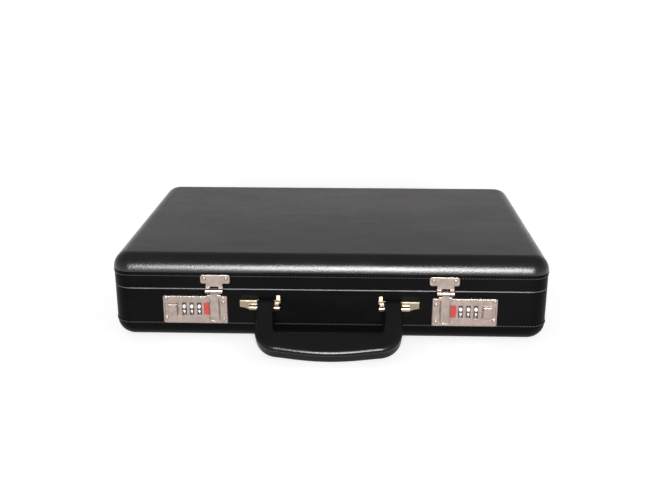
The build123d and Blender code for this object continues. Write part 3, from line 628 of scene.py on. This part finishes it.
def numeral_mesh(digit):
    """A flat numeral, cut into strips so that it can bend round a dial."""
    curve = bpy.data.curves.new("numeral", "FONT")
    curve.body = str(digit)
    curve.size = DIGIT_SIZE
    curve.align_x = "CENTER"
    curve.align_y = "CENTER"
    curve.offset = DIGIT_WEIGHT
    holder = bpy.data.objects.new("numeral", curve)
    flat = bpy.data.meshes.new_from_object(holder)
    bpy.data.objects.remove(holder)
    bm = bmesh.new()
    bm.from_mesh(flat)
    for k in range(-STRIPS, STRIPS + 1):
        geometry = bm.verts[:] + bm.edges[:] + bm.faces[:]
        bmesh.ops.bisect_plane(bm, geom=geometry, plane_co=(0, k * STRIP, 0), plane_no=(0, 1, 0))
    bm.to_mesh(flat)
    bm.free()
    return flat


def make_numerals():
    """The digits 0 to 9 painted round each dial, turning with it."""
    flats = [numeral_mesh(digit) for digit in range(10)]
    for word in SIDES:
        for number in (1, 2, 3):
            body = f"dial_{word}_{number}"
            low, high = (Vector(corner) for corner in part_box(body))
            centre = (low + high) / 2
            radius = (high.z - low.z) / 2 + PAINT_HEIGHT
            points = []
            faces = []
            for digit, flat in enumerate(flats):
                first = len(points)
                turn = math.radians(DIGIT_PITCH * digit + DIGIT_OFFSET)
                for vertex in flat.vertices:
                    angle = turn + vertex.co.y / radius
                    x = centre.x + vertex.co.x * DIGIT_NARROWING
                    y = centre.y - radius * math.cos(angle)
                    points.append(Vector((x, y, centre.z + radius * math.sin(angle))))
                faces += [tuple(first + k for k in face.vertices) for face in flat.polygons]
            mesh = bpy.data.meshes.new(f"numerals_{word}_{number}")
            mesh.from_pydata(points, [], faces)
            mesh.update()
            numerals = new_object(f"numerals_{word}_{number}", mesh, NUMERAL, smooth=False)
            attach(numerals, body)


# ---- Pocket hems and stitching ----

HEM_INSET = 0.8 * MM
HEM_RADIUS = 0.8 * MM
HEM_CORNER = 3 * MM


def rectangle(low, high, margin, z):
    """The corners of a box's plan, set in by a margin, at one height."""
    x0, y0 = low.x + margin, low.y + margin
    x1, y1 = high.x - margin, high.y - margin
    return [Vector((x0, y0, z)), Vector((x1, y0, z)), Vector((x1, y1, z)), Vector((x0, y1, z))]


def make_pocket_trim():
    """A rolled hem and a row of stitches round each pocket of the lid."""
    for part, margin in (("file_pocket", 4 * MM), ("card_pocket", 3 * MM)):
        low, high = (Vector(corner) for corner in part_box(part))
        sewn = rectangle(low, high, margin, low.z - 0.15 * MM)
        row = stitches(f"{part}_stitching", sewn, INNER_THREAD, closed=True)
        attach(row, "lid")
        edge = rounded(rectangle(low, high, HEM_INSET, low.z + 0.1 * MM), HEM_CORNER)
        hem = tube(f"{part}_hem", edge, HEM_RADIUS, POCKET, closed=True)
        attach(hem, "lid")


# ---- Floor, light and camera ----

FLOOR_HALF_SIZE = 14.0
FLOOR_GLOW = 0.3
KEY_ENERGY = 6.0
KEY_ANGLE = 28
KEY_ELEVATION = 17
KEY_HEADING = 2
CAMERA_TARGET = Vector((-4.93, 26.62, 40.0)) * MM
CAMERA_DISTANCE = 1.06575
CAMERA_PITCH = 18.41
CAMERA_YAW = -1.766
CAMERA_LENS = 47.65


def make_floor():
    """A plain white table, lit slightly from below so that it stays white round the case."""
    made, tree, shader = material("floor_paint", Roughness=0.9, Specular_IOR_Level=0.1)
    shader.inputs["Emission Strength"].default_value = FLOOR_GLOW
    shader.inputs["Emission Color"].default_value = (1, 1, 1, 1)
    mottle = noise_texture(tree, object_coordinates(tree), 3, 2)
    white = two_colours(tree, mottle, (0.90, 0.90, 0.90), (0.93, 0.93, 0.93))
    tree.links.new(white, shader.inputs["Base Color"])
    size = FLOOR_HALF_SIZE
    mesh = bpy.data.meshes.new("floor")
    corners = [(-size, -size, 0), (size, -size, 0), (size, size, 0), (-size, size, 0)]
    mesh.from_pydata(corners, [], [(0, 1, 2, 3)])
    floor = new_object("floor", mesh, made, smooth=False)


def make_world():
    """A soft grey studio, brighter near the horizon than overhead."""
    world = bpy.data.worlds.new("studio")
    bpy.context.scene.world = world
    world.use_nodes = True
    tree = world.node_tree
    background = tree.nodes["Background"]
    place = add_node(tree, "ShaderNodeTexCoord")
    split = add_node(tree, "ShaderNodeSeparateXYZ")
    tree.links.new(place.outputs["Generated"], split.inputs["Vector"])
    ramp = add_node(tree, "ShaderNodeValToRGB")
    ramp.color_ramp.elements[0].position = 0.3
    ramp.color_ramp.elements[0].color = (0.50, 0.485, 0.485, 1)
    ramp.color_ramp.elements[1].position = 0.62
    ramp.color_ramp.elements[1].color = (0.22, 0.22, 0.225, 1)
    tree.links.new(split.outputs["Z"], ramp.inputs["Fac"])
    tree.links.new(ramp.outputs["Color"], background.inputs["Color"])
    background.inputs["Strength"].default_value = 1.0


def make_lights():
    """One broad soft key, low in front of the case."""
    elevation = math.radians(KEY_ELEVATION)
    heading = math.radians(KEY_HEADING)
    light = bpy.data.lights.new("key_light", "SUN")
    light.energy = KEY_ENERGY
    light.angle = math.radians(KEY_ANGLE)
    lamp = bpy.data.objects.new("key_light", light)
    bpy.context.scene.collection.objects.link(lamp)
    level = math.cos(elevation)
    away = Vector((-level * math.sin(heading), level * math.cos(heading), -math.sin(elevation)))
    lamp.rotation_mode = "QUATERNION"
    lamp.rotation_quaternion = away.to_track_quat("-Z", "Y")


def make_camera():
    pitch = math.radians(CAMERA_PITCH)
    yaw = math.radians(CAMERA_YAW)
    level = math.cos(pitch)
    forward = Vector((math.sin(yaw) * level, math.cos(yaw) * level, -math.sin(pitch)))
    data = bpy.data.cameras.new("camera")
    data.sensor_width = 36.0
    data.lens = CAMERA_LENS
    data.clip_start = 0.05
    data.clip_end = 60
    camera = bpy.data.objects.new("camera", data)
    bpy.context.scene.collection.objects.link(camera)
    camera.location = CAMERA_TARGET - forward * CAMERA_DISTANCE
    camera.rotation_mode = "QUATERNION"
    camera.rotation_quaternion = forward.to_track_quat("-Z", "Y")
    bpy.context.scene.camera = camera


bpy.context.scene.view_settings.view_transform = "Standard"
paint_nodes()
make_lid_top()
make_lid_trim()
make_base_trim()
make_handle()
make_numerals()
make_pocket_trim()
make_floor()
make_world()
make_lights()
make_camera()

bpy.context.view_layer.update()
